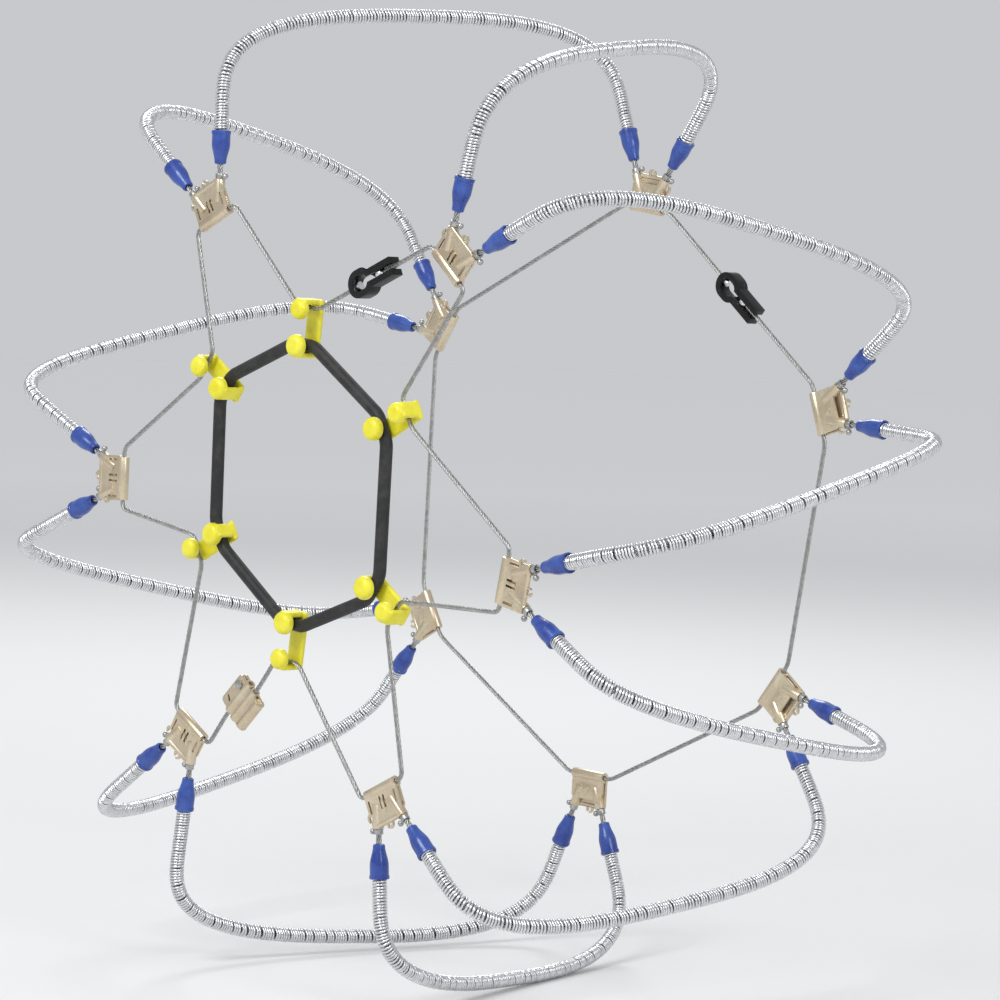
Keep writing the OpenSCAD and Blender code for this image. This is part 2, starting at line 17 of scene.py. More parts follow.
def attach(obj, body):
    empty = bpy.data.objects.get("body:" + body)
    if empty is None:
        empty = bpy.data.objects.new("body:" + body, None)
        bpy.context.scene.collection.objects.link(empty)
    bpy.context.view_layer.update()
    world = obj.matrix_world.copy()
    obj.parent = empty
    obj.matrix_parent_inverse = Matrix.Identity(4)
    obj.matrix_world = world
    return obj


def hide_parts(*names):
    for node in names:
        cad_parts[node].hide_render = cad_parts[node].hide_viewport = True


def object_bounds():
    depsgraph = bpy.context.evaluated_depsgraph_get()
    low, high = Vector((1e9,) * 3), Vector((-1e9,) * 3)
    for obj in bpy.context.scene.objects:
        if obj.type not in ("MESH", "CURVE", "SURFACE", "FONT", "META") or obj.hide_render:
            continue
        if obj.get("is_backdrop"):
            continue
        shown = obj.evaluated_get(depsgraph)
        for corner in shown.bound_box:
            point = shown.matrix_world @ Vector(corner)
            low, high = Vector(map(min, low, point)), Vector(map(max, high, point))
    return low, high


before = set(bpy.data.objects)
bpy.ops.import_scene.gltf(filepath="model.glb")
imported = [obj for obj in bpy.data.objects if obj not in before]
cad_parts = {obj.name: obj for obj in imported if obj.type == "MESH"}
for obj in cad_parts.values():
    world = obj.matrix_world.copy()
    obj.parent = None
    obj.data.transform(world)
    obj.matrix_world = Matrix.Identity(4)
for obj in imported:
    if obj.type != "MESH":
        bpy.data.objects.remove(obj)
cad_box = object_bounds()

# %% [markdown]
# # Driving sizes
# The chain is known by a few sizes: the tyre that it wraps, the two cable sizes, and where its six
# outer clamps and six hooks sit. They repeat the CAD model's own values, in metres and degrees, so a
# visible cable can be worked out again with more points than the CAD model needs. Two cross cables
# leave each clamp, and squareness says how full the tyre's shoulders are.

# %% Sizes of the chain
MM = 0.001
TYRE_D, TYRE_W = 838 * MM, 368 * MM
SHOULDER_RISE = 77 * MM
CORE_D, COIL_D, COIL_WIRE = 5 * MM, 13 * MM, 2.4 * MM
SIDE_D, RING_D = 4 * MM, 11 * MM
CLAMP_W, CLAMP_H, CLAMP_T = 40 * MM, 25 * MM, 10 * MM
STAND_OFF = 2 * MM
BARREL_X, BARREL_Z, BARREL_LEN = 9 * MM, -2 * MM, 20 * MM
BARE_LEN, SLEEVE_LEN, SLEEVE_GRIP, SLEEVE_WALL = 13 * MM, 29 * MM, 9 * MM, 2 * MM
HOOK_REACH, HOOK_W, HOOK_WALL, HOOK_GAP = 32 * MM, 18 * MM, 5 * MM, 0.5 * MM
RING_BRIDGE, CABLE_BRIDGE, RING_CLEAR = 12 * MM, 14 * MM, 0.6 * MM
RING_TIP_D, CABLE_TIP_D, TIP_T = 20 * MM, 18 * MM, 9 * MM
RING_BEND, CABLE_BEND, STRAIGHT_OUT = 6 * MM, 6 * MM, 1 * MM
CORE_INSIDE = 4 * MM
TREAD_GAP = 1 * MM
SQUARENESS = 2 / 3

CLAMP_ANGLE = [117, 49, -11, -63, -121, -180]
CLAMP_DROP = [152 * MM, 150 * MM, 156 * MM, 151 * MM, 170 * MM, 182 * MM]
INNER_DROP = 152 * MM
HOOK_ANGLE = [89, 32, -35, -90, -158, -222]
HOOK_RADIUS = [129 * MM, 121 * MM, 121 * MM, 108 * MM, 106 * MM, 131 * MM]
PITCHES = len(CLAMP_ANGLE)
CROSSINGS = 2 * PITCHES

SIDE_Y = TYRE_W / 2 + STAND_OFF + CLAMP_T / 2
CROWN_R = TYRE_D / 2 + COIL_D / 2 + TREAD_GAP
SHOULDER_R = CROWN_R - SHOULDER_RISE
SLEEVE_START = BARREL_LEN + BARE_LEN
COIL_START = SLEEVE_START + SLEEVE_LEN - SLEEVE_GRIP
print("crown radius", round(CROWN_R, 4), "side plane", round(SIDE_Y, 4))

# %% [markdown]
# # Camera
# A long lens from a few metres away keeps the wheel's circles close to true ellipses, as a
# catalogue picture does. The camera is placed by two angles round the tyre and a small roll, and
# it is slid sideways so that the object fills the frame.

# %% Camera
AZIMUTH, ELEVATION, ROLL = math.radians(45.3), math.radians(3.4), math.radians(2.4)
CAMERA_DISTANCE = 3.5
LENS = 143
SLIDE_RIGHT, SLIDE_UP = 36 * MM, -5 * MM


def camera_axes():
    """Right, up and backward directions of the camera."""
    a, e = AZIMUTH, ELEVATION
    back = Vector((math.sin(a) * math.cos(e), -math.cos(a) * math.cos(e), math.sin(e)))
    right = Vector((math.cos(a), math.sin(a), 0))
    up = back.cross(right)
    turn = Matrix.Rotation(ROLL, 3, back)
    return turn @ right, turn @ up, back


right, up, back = camera_axes()
camera = bpy.data.objects.new("camera", bpy.data.cameras.new("camera"))
bpy.context.collection.objects.link(camera)
camera.matrix_world = Matrix.Translation(
    back * CAMERA_DISTANCE + right * SLIDE_RIGHT + up * SLIDE_UP
) @ Matrix((right, up, back)).transposed().to_4x4()
camera.data.lens = LENS
camera.data.clip_end = 60
bpy.context.scene.camera = camera
print("camera at", [round(v, 3) for v in camera.location])

# %% [markdown]
# # Shader maths
# A material is easier to read as a formula than as a web of nodes. One small class wraps a socket
# and gives it Python's plus and times, so `0.3 + mask * 0.1` adds the Math nodes by itself.
# Everything else, such as a noise or a ramp, comes from one method that sets a node up and returns
# its output.

# %% Shader class
class Field:
    """A value that varies over a surface: a node's output socket that can be added and multiplied."""

    def __init__(self, shader, socket):
        self.shader, self.socket = shader, socket

    def math(self, operation, a, b):
        return self.shader.node("ShaderNodeMath", {"operation": operation}, {0: a, 1: b})

    def __add__(self, other):
        return self.math("ADD", self, other)

    def __radd__(self, other):
        return self.math("ADD", other, self)

    def __mul__(self, other):
        return self.math("MULTIPLY", self, other)

    def clamped(self):
        return self.math("MINIMUM", self.math("MAXIMUM", self, 0.0), 1.0)


class Shader:
    """A material with one Principled surface, whose nodes are added by formulas."""

    def __init__(self, name, **constants):
        self.material = bpy.data.materials.new(name)
        self.material.use_nodes = True
        self.tree = self.material.node_tree
        self.surface = self.tree.nodes["Principled BSDF"]
        for key, value in constants.items():
            self.surface.inputs[key.replace("_", " ")].default_value = value
        self.place = self.node("ShaderNodeTexCoord", {}, {}, "Object")

    def node(self, kind, settings, inputs, output=0):
        made = self.tree.nodes.new(kind)
        for key, value in settings.items():
            if key == "stops":
                ramp = made.color_ramp
                while len(ramp.elements) < len(value):
                    ramp.elements.new(0.5)
                for element, (at, tone) in zip(ramp.elements, value):
                    element.position, element.color = at, (tone, tone, tone, 1)
            else:
                setattr(made, key, value)
        for key, value in inputs.items():
            if isinstance(value, Field):
                self.tree.links.new(value.socket, made.inputs[key])
            else:
                made.inputs[key].default_value = value
        return Field(self, made.outputs[output])

    def noise(self, scale, detail=3.0, roughness=0.6, stretch=(1, 1, 1)):
        at = self.place
        if stretch != (1, 1, 1):
            at = self.node("ShaderNodeMapping", {}, {"Vector": at, "Scale": stretch})
        inputs = {"Vector": at, "Scale": scale, "Detail": detail, "Roughness": roughness}
        return self.node("ShaderNodeTexNoise", {}, inputs)

    def ramp(self, value, *stops):
        return self.node("ShaderNodeValToRGB", {"stops": stops}, {"Fac": value})

    def mix(self, mask, a, b):
        rgba = [tone if isinstance(tone, Field) else (*tone, 1) for tone in (a, b)]
        return self.node(
            "ShaderNodeMix", {"data_type": "RGBA"}, {"Factor": mask, 6: rgba[0], 7: rgba[1]}, 2
        )

    def drive(self, **fields):
        for key, field in fields.items():
            self.tree.links.new(field.socket, self.surface.inputs[key.replace("_", " ")])

    def bump(self, height, distance, strength):
        normal = self.node(
            "ShaderNodeBump", {}, {"Height": height, "Distance": distance, "Strength": strength}, "Normal"
        )
        self.drive(Normal=normal)


# %% [markdown]
# # Finishes
# Seven finishes cover the chain. Yellow zinc on stamped steel is a pale gold with a faint pink tint
# and specks of grime. Galvanised wire is grey and not even, since zinc freezes in small grains, and
# the coil's wire is brighter. The two plastics are dyed through, so their colour hardly changes, but
# moulding leaves a faint ripple. Rubber carries a dusty bloom, and the black coat on the fastener is
# worn in places.

# %% Yellow zinc
def yellow_zinc():
    s = Shader("yellow_zinc", Metallic=0.92)
    cloud = s.ramp(s.noise(38, 4, 0.65), (0.34, 0), (0.68, 1))
    tint = s.ramp(s.noise(95, 2), (0.42, 0), (0.62, 1))
    pale = s.mix(cloud, (0.61, 0.51, 0.35), (0.73, 0.65, 0.49))
    base = s.mix(tint * 0.35, pale, (0.64, 0.49, 0.38))
    grime = s.ramp(s.noise(420, 5, 0.7), (0.56, 0), (0.72, 1))
    s.drive(Base_Color=s.mix(grime * 0.45, base, (0.16, 0.13, 0.09)))
    s.drive(Roughness=(0.30 + cloud * 0.10 + grime * 0.22).clamped())
    s.bump(s.noise(900, 3) * 0.5 + s.noise(160, 2), 0.00025, 0.5)
    return s.material


# %% Galvanised wire and bright coil
def galvanised():
    s = Shader("galvanised_wire", Metallic=1.0)
    grain = s.ramp(s.noise(260, 3), (0.36, 0), (0.66, 1))
    dirt = s.ramp(s.noise(46, 4, 0.7), (0.50, 0), (0.74, 1))
    base = s.mix(grain, (0.36, 0.36, 0.35), (0.52, 0.52, 0.51))
    s.drive(Base_Color=s.mix(dirt * 0.4, base, (0.27, 0.26, 0.24)))
    s.drive(Roughness=(0.30 + grain * 0.12 + dirt * 0.12).clamped())
    s.bump(s.noise(1500, 2), 0.0001, 0.4)
    return s.material


def bright_coil():
    s = Shader("bright_coil", Metallic=1.0)
    grain = s.ramp(s.noise(300, 3, 0.65), (0.36, 0), (0.64, 1))
    worn = s.ramp(s.noise(55, 4, 0.7), (0.50, 0), (0.70, 1))
    base = s.mix(grain, (0.63, 0.64, 0.66), (0.82, 0.83, 0.84))
    s.drive(Base_Color=s.mix(worn * 0.3, base, (0.46, 0.46, 0.46)))
    s.drive(Roughness=(0.20 + grain * 0.10 + worn * 0.14).clamped())
    s.bump(s.noise(1400, 3), 0.00012, 0.45)
    return s.material


# %% Plastics, rubber and black coat
def moulded(name, dark, light, roughness):
    s = Shader(name, Specular_IOR_Level=0.5, Coat_Weight=0.12)
    cloud = s.ramp(s.noise(60, 3), (0.35, 0), (0.65, 1))
    scuff = s.ramp(s.noise(520, 4, 0.75, (1, 1, 0.25)), (0.60, 0), (0.74, 1))
    s.drive(Base_Color=s.mix(cloud, dark, light))
    s.drive(Roughness=(roughness + cloud * 0.06 + scuff * 0.22).clamped())
    s.bump(s.noise(340, 3) + scuff * 0.3, 0.00018, 0.5)
    return s.material


def rubber():
    s = Shader("black_rubber", Specular_IOR_Level=0.35)
    bloom = s.ramp(s.noise(70, 4, 0.7), (0.45, 0), (0.75, 1))
    fine = s.noise(1300, 3)
    s.drive(Base_Color=s.mix(bloom, (0.018, 0.018, 0.019), (0.050, 0.049, 0.047)))
    s.drive(Roughness=(0.44 + bloom * 0.2 + fine * 0.1).clamped())
    s.bump(fine + s.noise(140, 2) * 0.6, 0.0002, 0.5)
    return s.material


def black_coat():
    s = Shader("black_coat", Specular_IOR_Level=0.28, Coat_Weight=0.08)
    wear = s.ramp(s.noise(230, 5, 0.75), (0.62, 0), (0.70, 1))
    s.drive(Base_Color=s.mix(wear * 0.6, (0.004, 0.004, 0.0045), (0.16, 0.16, 0.17)))
    s.drive(Metallic=wear * 0.7)
    s.drive(Roughness=(0.33 + wear * 0.2 + s.noise(600, 3) * 0.12).clamped())
    s.bump(s.noise(850, 3), 0.00015, 0.5)
    return s.material


ZINC, GALVANISED, BRIGHT = yellow_zinc(), galvanised(), bright_coil()
BLUE = moulded("blue_plastic", (0.016, 0.042, 0.25), (0.036, 0.092, 0.37), 0.26)
YELLOW = moulded("yellow_plastic", (0.72, 0.65, 0.014), (0.82, 0.76, 0.050), 0.34)
RUBBER, BLACK = rubber(), black_coat()
print("finishes", len(bpy.data.materials))

# %% [markdown]
# # Where the clamps, hooks and cables are
# Everything on the outer side lies in one plane, so its places are a radius and an angle. The cross
# cables are pulled tight over a round tyre, and a taut cable takes the shortest way: its radius
# times the sine of its slope stays the same from end to end. That one number is found by halving
# until the cable arrives at its inner clamp.

# %% Places in the two side planes
def polar(radius, angle, y):
    a = math.radians(angle)
    return Vector((radius * math.cos(a), y, radius * math.sin(a)))


def along(angle):
    a = math.radians(angle)
    return Vector((math.sin(a), 0, -math.cos(a)))


def outer_angle(i):
    return CLAMP_ANGLE[i % PITCHES] - 360 * (i // PITCHES)


def inner_angle(i):
    return (outer_angle(i) + outer_angle(i + 1)) / 2


def outer_clamp_r(i):
    return CROWN_R - CLAMP_DROP[i % PITCHES]


INNER_CLAMP_R = CROWN_R - INNER_DROP


def hook_point(j):
    return polar(HOOK_RADIUS[j % PITCHES], HOOK_ANGLE[j % PITCHES], -SIDE_Y)


def hook_out(j):
    """Direction in which hook j pulls the ring, away from both of its neighbours."""
    here = hook_point(j)
    before, after = hook_point(j - 1) - here, hook_point(j + 1) - here
    return -(before.normalized() + after.normalized()).normalized()


def hook_along(j):
    out = hook_out(j)
    return Vector((out.z, 0, -out.x))


# %% Route of a cross cable
STEEPEST = 0.9
HALVINGS = 30


def crimp_r(r):
    return math.hypot(BARREL_X, r + BARREL_Z)


def crimp_turn(r):
    return math.degrees(math.atan(BARREL_X / (r + BARREL_Z)))


def cross_profile(r_a, r_b, arc_steps=120, lead_steps=12):
    """Radius and y of a cable, up one sidewall, over the tread and down the other."""
    lead = [(r_a + (SHOULDER_R - r_a) * i / lead_steps, -SIDE_Y) for i in range(lead_steps)]
    arc = []
    for i in range(arc_steps + 1):
        a = math.pi * i / arc_steps
        rise, across = max(math.sin(a), 0) ** SQUARENESS, abs(math.cos(a)) ** SQUARENESS
        arc.append((SHOULDER_R + SHOULDER_RISE * rise, -SIDE_Y * math.copysign(across, math.cos(a))))
    tail = [
        (SHOULDER_R + (r_b - SHOULDER_R) * i / lead_steps, SIDE_Y) for i in range(1, lead_steps + 1)
    ]
    return lead + arc + tail


def turns(profile, c):
    """Degrees that a taut cable has turned round the axle at each point of its profile."""
    total = [0.0]
    for p, q in zip(profile, profile[1:]):
        m = math.sqrt(p[0] * q[0])
        step = math.hypot(q[0] - p[0], q[1] - p[1])
        total.append(total[-1] + math.degrees(step * c / (m * math.sqrt(m * m - c * c))))
    return total


def cross_route(k):
    """Points of cross cable k from its outer clamp's crimp to its inner clamp's crimp."""
    sign = 1 if k % 2 == 0 else -1
    outer = k // 2
    inner = (outer - 1) % PITCHES if k % 2 == 0 else outer
    start = outer_angle(outer) + sign * crimp_turn(outer_clamp_r(outer))
    end = inner_angle(inner) + (360 if k == 0 else 0) - sign * crimp_turn(INNER_CLAMP_R)
    r_a, r_b = crimp_r(outer_clamp_r(outer)), crimp_r(INNER_CLAMP_R)
    profile = cross_profile(r_a, r_b)
    low, high = 0.0, STEEPEST * min(r_a, r_b)
    for _ in range(HALVINGS):
        c = (low + high) / 2
        if turns(profile, c)[-1] < abs(end - start):
            low = c
        else:
            high = c
    turned = turns(profile, c)
    return [polar(r, start + sign * t, y) for (r, y), t in zip(profile, turned)]


# %% Routes of the side cables and the rubber ring
def tube_point(angle, r, y, s):
    return polar(r - CLAMP_H / 2, angle, y) + s * (CLAMP_W / 2 + STRAIGHT_OUT + CABLE_BEND) * along(angle)


def outer_tube(i, s):
    return tube_point(outer_angle(i), outer_clamp_r(i), -SIDE_Y, s)


def inner_tube(i, s):
    return tube_point(inner_angle(i), INNER_CLAMP_R, SIDE_Y, s)


def hook_seat(j, s):
    half = CABLE_BRIDGE / 2 + HOOK_GAP + CABLE_BEND
    return hook_point(j) + HOOK_REACH * hook_out(j) + s * half * hook_along(j)


def bent(line, setback, closed=False, steps=8):
    """A line of points with each inner corner rounded."""
    count = len(line)
    points = [] if closed else [line[0]]
    for i in range(0 if closed else 1, count if closed else count - 1):
        here, before, after = line[i], line[i - 1], line[(i + 1) % count]
        a = here + setback * (before - here).normalized()
        b = here + setback * (after - here).normalized()
        for n in range(steps + 1):
            t = n / steps
            points.append((1 - t) ** 2 * a + 2 * t * (1 - t) * here + t * t * b)
    if not closed:
        points.append(line[-1])
    return points


# %% [markdown]
# # Walking along a route
# Wire that is wound or twisted round a cable needs two things at any distance along it: the point,
# and two directions square to it that don't spin of their own accord. The directions are carried
# from one point to the next, turned only as much as the cable itself turns.

# %% A route that can be walked by distance
class Route:
    def __init__(self, points):
        self.points = points
        self.at = [0.0]
        for p, q in zip(points, points[1:]):
            self.at.append(self.at[-1] + (q - p).length)
        self.length = self.at[-1]
        steps = [(q - p).normalized() for p, q in zip(points, points[1:])]
        between = [(a + b).normalized() for a, b in zip(steps, steps[1:])]
        self.forward = [steps[0], *between, steps[-1]]
        side = self.forward[0].orthogonal().normalized()
        self.side = [side]
        for a, b in zip(self.forward, self.forward[1:]):
            side = a.rotation_difference(b) @ side
            self.side.append((side - side.dot(b) * b).normalized())

    def frame(self, distance):
        """Point, side and other side at a distance from the start."""
        i = min(max(bisect_right(self.at, distance) - 1, 0), len(self.points) - 2)
        t = (distance - self.at[i]) / (self.at[i + 1] - self.at[i])
        point = self.points[i].lerp(self.points[i + 1], t)
        forward = self.forward[i].lerp(self.forward[i + 1], t).normalized()
        side = self.side[i].lerp(self.side[i + 1], t)
        side = (side - side.dot(forward) * forward).normalized()
        return point, side, forward.cross(side)

    def around(self, distance, angle, radius):
        point, side, other = self.frame(distance)
        return point + radius * (math.cos(angle) * side + math.sin(angle) * other)


def wire_mesh(name, lines, radius, material, sides=1, closed=False):
    """Round wires along lines of points, as one mesh. sides is the curve's bevel resolution."""
    curve = bpy.data.curves.new(name, "CURVE")
    curve.dimensions = "3D"
    curve.bevel_depth = radius
    curve.bevel_resolution = sides
    curve.use_fill_caps = True
    for line in lines:
        spline = curve.splines.new("POLY")
        spline.points.add(len(line) - 1)
        spline.points.foreach_set("co", [v for p in line for v in (*p, 1)])
        spline.use_cyclic_u = closed
    rough = bpy.data.objects.new(name + "_curve", curve)
    bpy.context.collection.objects.link(rough)
    shaped = rough.evaluated_get(bpy.context.evaluated_depsgraph_get())
    mesh = bpy.data.meshes.new_from_object(shaped)
    bpy.data.objects.remove(rough)
    mesh.name = name
    mesh.materials.clear()
    mesh.materials.append(material)
    mesh.polygons.foreach_set("use_smooth", [True] * len(mesh.polygons))
    piece = bpy.data.objects.new(name, mesh)
    bpy.context.collection.objects.link(piece)
    return piece


def place(piece, body, slot, *nodes):
    """Every piece rides on a body and stands for its CAD nodes; slot is not used."""
    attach(piece, body)
    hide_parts(*nodes)
    return piece


# %% [markdown]
# # Traction coils
# The coil is one long steel wire wound round the core cable. Modelled as a real helix, it catches
# the light turn by turn. A machine winds it tight, but bending it over a tyre opens it in places,
# so after every few turns the pitch grows by a random gap, from a seeded source. The sleeves hold
# the coil's ends, so the gaps stay small there.

# %% Wind the coils
COIL_LINE_R = COIL_D / 2 - COIL_WIRE / 2
TIGHT_PITCH = 1.02 * COIL_WIRE
LEAST_GAP, MOST_GAP = 0.9 * MM, 2.1 * MM
END_STRETCH, LEAST_OPEN = 70 * MM, 0.3
TURNS_BETWEEN_GAPS = (1, 2, 2, 3, 4, 5)
FIRST_TURNS = (2, 5)
STEPS_PER_TURN = 12
COIL_SEED = 40
ROUTES = [Route(cross_route(k)) for k in range(CROSSINGS)]


def coil_line(route, rng):
    """Middle of the coil's wire, with a gap after every few tight turns."""
    distance, end = COIL_START, route.length - COIL_START
    angle = rng.uniform(0, 2 * math.pi)
    left_tight = rng.randint(*FIRST_TURNS)
    line = []
    while distance < end:
        pitch = TIGHT_PITCH
        if left_tight == 0:
            openness = min(1, (distance - COIL_START) / END_STRETCH, (end - distance) / END_STRETCH)
            pitch += rng.uniform(LEAST_GAP, MOST_GAP) * max(openness, LEAST_OPEN)
            left_tight = rng.choice(TURNS_BETWEEN_GAPS)
        else:
            left_tight -= 1
        for i in range(STEPS_PER_TURN):
            line.append(route.around(distance, angle, COIL_LINE_R))
            distance += pitch / STEPS_PER_TURN
            angle += 2 * math.pi / STEPS_PER_TURN
    return line


for k, route in enumerate(ROUTES):
    name = f"coil_wire_{k + 1:02d}"
    line = coil_line(route, random.Random(COIL_SEED + k))
    coil = wire_mesh(name, [line], COIL_WIRE / 2, BRIGHT)
    place(coil, "chain", "coil_steel", f"traction_coil_{k + 1:02d}")
print("coils", len(ROUTES), "turns in the last", len(line) // STEPS_PER_TURN)
print("triangles in the last coil", 2 * len(coil.data.polygons))

# %% [markdown]
# # Wire ropes
# Steel cable is strands laid round each other, and the twist is what tells it from a rod. Six round
# strands, each a third of the rope's diameter, run as helices round the route, with one more down
# the middle to close the gaps.

# %% Lay the ropes
STRANDS = 6
STRAND_SHARE = 1 / 3
LAY_IN_DIAMETERS = 6.5
STRAND_SWELL = 1.04


def rope(name, route, diameter, start, end, steps_per_lay, sides):
    """A wire rope between two distances along a route."""
    strand_r = diameter * STRAND_SHARE / 2
    lay = LAY_IN_DIAMETERS * diameter
    count = max(2, round((end - start) / lay * steps_per_lay))
    walked = [(end - start) * i / count for i in range(count + 1)]
    lines = []
    for strand in range(STRANDS):
        phase = 2 * math.pi * strand / STRANDS
        lines.append([
            route.around(start + step, phase + 2 * math.pi * step / lay, 2 * strand_r) for step in walked
        ])
    lines.append([route.frame(start + step)[0] for step in walked])
    return wire_mesh(name, lines, strand_r * STRAND_SWELL, GALVANISED, sides)


for k, route in enumerate(ROUTES):
    name, end = f"core_rope_{k + 1:02d}", route.length - CORE_INSIDE
    core = rope(name, route, CORE_D, CORE_INSIDE, end, steps_per_lay=10, sides=0)
    place(core, "chain", "cable_steel", f"cross_cable_{k + 1:02d}")
print("core ropes", [round(r.length - 2 * CORE_INSIDE, 3) for r in ROUTES])

# %% Side cables
KEY_SHARE, KEY_POCKET = 0.5, 8 * MM
STOP_X, STOP_LEN = -21.2 * MM, 3.6 * MM
SPLICE_W, SPLICE_GAP, SPLICE_END = 34 * MM, 4.6 * MM, 2 * MM


def key_axis(outer):
    """Middle and direction of a keyhole fastener."""
    a, b = (hook_seat(0, 1), outer_tube(1, -1)) if outer else (inner_tube(0, 1), inner_tube(1, -1))
    return a.lerp(b, KEY_SHARE), (b - a).normalized()


def key_point(outer, x):
    middle, direction = key_axis(outer)
    return middle + x * direction


splice_a, splice_b = hook_seat(3, 1), outer_tube(4, -1)
splice_dir = (splice_b - splice_a).normalized()
splice_up = Vector((-splice_dir.z, 0, splice_dir.x))


def splice_point(x, z):
    return (splice_a + splice_b) / 2 + x * splice_dir + z * splice_up


def outer_stretch(first):
    """Corners past three clamps and the hooks that follow them."""
    corners = []
    for i in range(first, first + 3):
        corners += [outer_tube(i, -1), outer_tube(i, 1), hook_seat(i, -1), hook_seat(i, 1)]
    return corners


SPLICE_HALF = SPLICE_W / 2
splice_bend = SPLICE_HALF + STRAIGHT_OUT + CABLE_BEND
stop_middle = STOP_X + STOP_LEN / 2
side_lines = {
    "outer_side_cable_a": [
        key_point(True, KEY_POCKET),
        *outer_stretch(1),
        splice_point(-splice_bend, SPLICE_GAP),
        splice_point(SPLICE_HALF - SPLICE_END, SPLICE_GAP),
    ],
    "outer_side_cable_b": [
        splice_point(SPLICE_END - SPLICE_HALF, -SPLICE_GAP),
        splice_point(splice_bend, -SPLICE_GAP),
        *outer_stretch(4),
        key_point(True, stop_middle),
    ],
    "inner_side_cable": [
        key_point(False, KEY_POCKET),
        *[inner_tube(i, s) for i in range(1, PITCHES + 1) for s in (-1, 1)],
        key_point(False, stop_middle),
    ],
}
for node, corners in side_lines.items():
    route = Route(bent(corners, CABLE_BEND))
    piece = rope(node + "_rope", route, SIDE_D, 0, route.length, steps_per_lay=12, sides=1)
    place(piece, "chain", "cable_steel", node)
    print(node, "length", round(route.length, 3))

# %% [markdown]
# # Rubber ring
# The tensioner is one moulded ring of round rubber cord, pulled into a hexagon by its hooks. A
# closed curve with a round bevel gives the cord, and the corners get a soft bend where each hook
# pulls.

# %% Rubber ring
half = RING_BRIDGE / 2 + HOOK_GAP + RING_BEND
ring_corners = [hook_point(j) + s * half * hook_along(j) for j in range(PITCHES) for s in (-1, 1)]
ring_line = bent(ring_corners, RING_BEND, closed=True)
ring = wire_mesh("rubber_ring", [ring_line], RING_D / 2, RUBBER, sides=6, closed=True)
place(ring, "chain", "black_rubber", "tensioner_ring")

# %% [markdown]
# # Plastic sleeves
# Each end of a coil hides in a blue moulded sleeve that stops the wire from working loose. It is
# round, so it is turned like on a lathe: a closed outline is spun round its axis, with a rolled lip
# at the mouth and a soft taper towards the clamp.

# %% Turn the sleeves
FIT = 0.3 * MM
THROAT_WALL = 2.6 * MM
EDGE = 0.5 * MM
LIP_LEN = 2.8 * MM
TAPER_LEN = 0.55 * SLEEVE_LEN
TAPER_STEPS = 8


def lathe(outline, matrix, steps=28, bored=True):
    """A solid spun from (radius, height) points, whose outline closes on itself if it is bored."""
    turned = bmesh.new()
    corners = [turned.verts.new((r, 0, z)) for r, z in outline]
    following = corners[1:] + corners[:1] if bored else corners[1:]
    edges = [turned.edges.new((a, b)) for a, b in zip(corners, following)]
    bmesh.ops.spin(
        turned, geom=corners + edges, cent=(0, 0, 0), axis=(0, 0, 1), angle=2 * math.pi,
        steps=steps, use_merge=True, use_duplicate=False,
    )
    bmesh.ops.remove_doubles(turned, verts=turned.verts, dist=1e-7)
    bmesh.ops.recalc_face_normals(turned, faces=turned.faces)
    bmesh.ops.transform(turned, matrix=matrix, verts=turned.verts)
    return turned


def cable_end(k, outer):
    """Matrix at the end of cross cable k, with z running away from the clamp."""
    points = ROUTES[k].points
    start, after = (points[0], points[1]) if outer else (points[-1], points[-2])
    z = (after - start).normalized()
    y = Vector((0, 1, 0))
    x = y.cross(z)
    return Matrix.Translation(start) @ Matrix((x, y, z)).transposed().to_4x4()


def sleeve_outline():
    mouth, throat = COIL_D / 2 + SLEEVE_WALL, CORE_D / 2 + THROAT_WALL
    bore, seat = CORE_D / 2 + FIT, COIL_D / 2 + FIT / 2
    low, high = SLEEVE_START, SLEEVE_START + SLEEVE_LEN
    step = high - SLEEVE_GRIP
    outline = [(bore, low + EDGE), (bore + EDGE, low)]
    outline += [(throat - 2 * EDGE, low), (throat - EDGE / 2, low + EDGE)]
    for i in range(TAPER_STEPS + 1):
        t = i / TAPER_STEPS
        ease = t * t * (3 - 2 * t)
        outline.append((throat + (mouth - EDGE - throat) * ease, low + 3 * EDGE + TAPER_LEN * t))
    outline += [(mouth - EDGE, high - LIP_LEN - EDGE), (mouth, high - LIP_LEN), (mouth, high - EDGE)]
    outline += [(mouth - EDGE, high), (seat + EDGE, high), (seat, high - EDGE), (seat, step), (bore, step)]
    return outline


def add_piece(name, mesh_data, material, smooth_angle=40):
    """A finished piece from a bmesh, smooth except at its sharp edges."""
    mesh = bpy.data.meshes.new(name)
    for edge in mesh_data.edges:
        edge.smooth = len(edge.link_faces) == 2 and edge.calc_face_angle() < math.radians(smooth_angle)
    for face in mesh_data.faces:
        face.smooth = True
    mesh_data.to_mesh(mesh)
    mesh_data.free()
    mesh.materials.append(material)
    piece = bpy.data.objects.new(name, mesh)
    bpy.context.collection.objects.link(piece)
    return piece


def pour(part, target):
    """Moves everything in one bmesh into another."""
    scratch = bpy.data.meshes.new("scratch")
    part.to_mesh(scratch)
    part.free()
    target.from_mesh(scratch)
    bpy.data.meshes.remove(scratch)


def joined(parts):
    """One bmesh from several."""
    whole = bmesh.new()
    for part in parts:
        pour(part, whole)
    return whole


for side, outer in (("outer", True), ("inner", False)):
    turned = [lathe(sleeve_outline(), cable_end(k, outer)) for k in range(CROSSINGS)]
    sleeves = add_piece(f"{side}_sleeve_set", joined(turned), BLUE)
    place(sleeves, "chain", "blue_plastic", f"{side}_sleeves")
print("sleeves", 2 * CROSSINGS)

